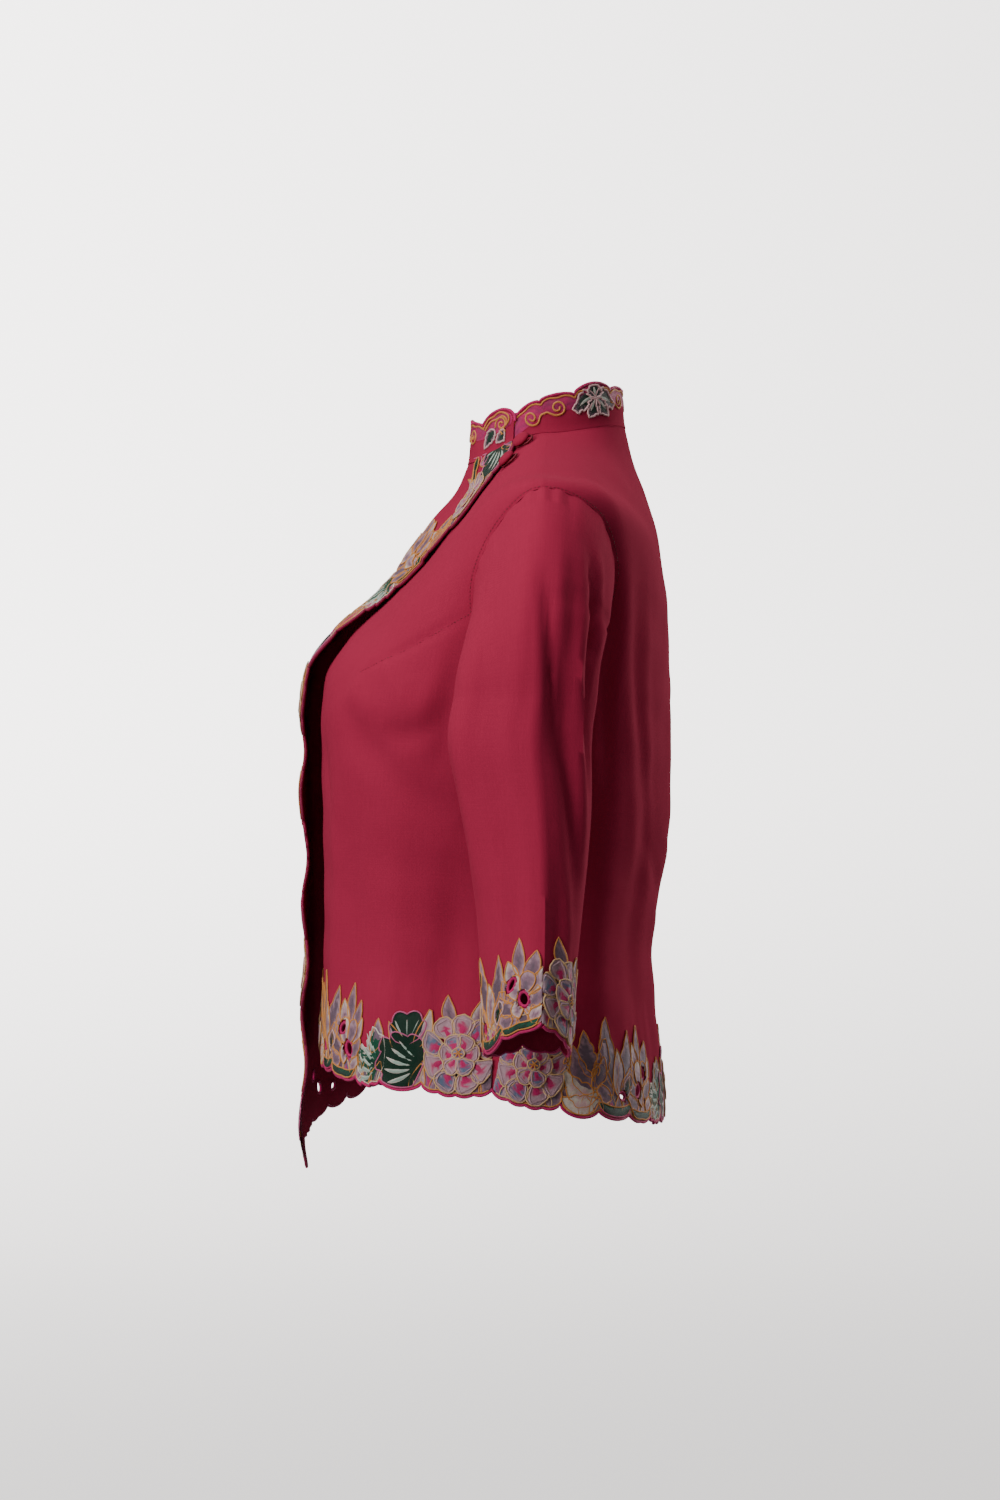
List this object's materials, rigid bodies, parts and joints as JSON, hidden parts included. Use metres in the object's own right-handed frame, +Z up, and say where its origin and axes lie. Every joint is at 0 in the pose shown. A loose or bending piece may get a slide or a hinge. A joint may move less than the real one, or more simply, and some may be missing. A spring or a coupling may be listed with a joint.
{
  "type": "kebaya blouse",
  "caption": "Fitted hip-length blouse with stand collar, lapped front, set-in three-quarter sleeves and scalloped, embroidered cutwork borders at collar, front edge, hem and cuffs.",
  "frame": {"origin": "middle of the neck opening at the height of the shoulder seams, where the wearer's shoulders carry the blouse", "axes": "+Z up along the wearer's back, +X towards the wearer's left arm, the wearer faces -Y"},
  "size_m": [0.5598, 0.2938, 0.6212],
  "materials": {
    "cloth": "matt plain-weave cotton, embroidered borders",
    "fastening": "the same cotton over button moulds and as rouleau loops"
  },
  "bodies": {
    "root": {"back": "cloth", "left_front": "cloth", "right_front": "cloth", "collar": "cloth", "left_sleeve_front": "cloth", "left_sleeve_back": "cloth", "right_sleeve_front": "cloth", "right_sleeve_back": "cloth", "button_1": "fastening", "button_2": "fastening", "loop_1": "fastening", "loop_2": "fastening"}
  },
  "joints": []
}
